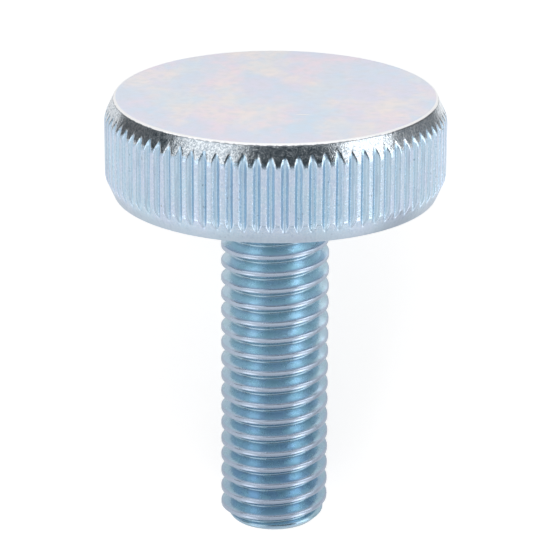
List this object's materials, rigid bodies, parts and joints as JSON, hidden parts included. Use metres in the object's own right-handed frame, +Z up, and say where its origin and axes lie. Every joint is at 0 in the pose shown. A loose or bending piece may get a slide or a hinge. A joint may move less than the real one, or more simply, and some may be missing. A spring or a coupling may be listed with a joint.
{
  "type": "thumb screw",
  "caption": "Flat round thumb screw with a straight-knurled rim and a right-hand metric thread, turned in one piece.",
  "frame": {"origin": "on the ground, under the middle of the screw as it lies on its side", "axes": "+Z up; the screw's axis lies in the YZ plane, the head toward +Y and raised by the tilt at which head and point touch the ground; +X across the screw"},
  "size_m": [0.0154, 0.0224, 0.0155],
  "materials": {
    "zinc_steel": "satin, blue-clear zinc plating"
  },
  "bodies": {
    "root": {"thumb_screw": "zinc_steel"}
  },
  "joints": []
}
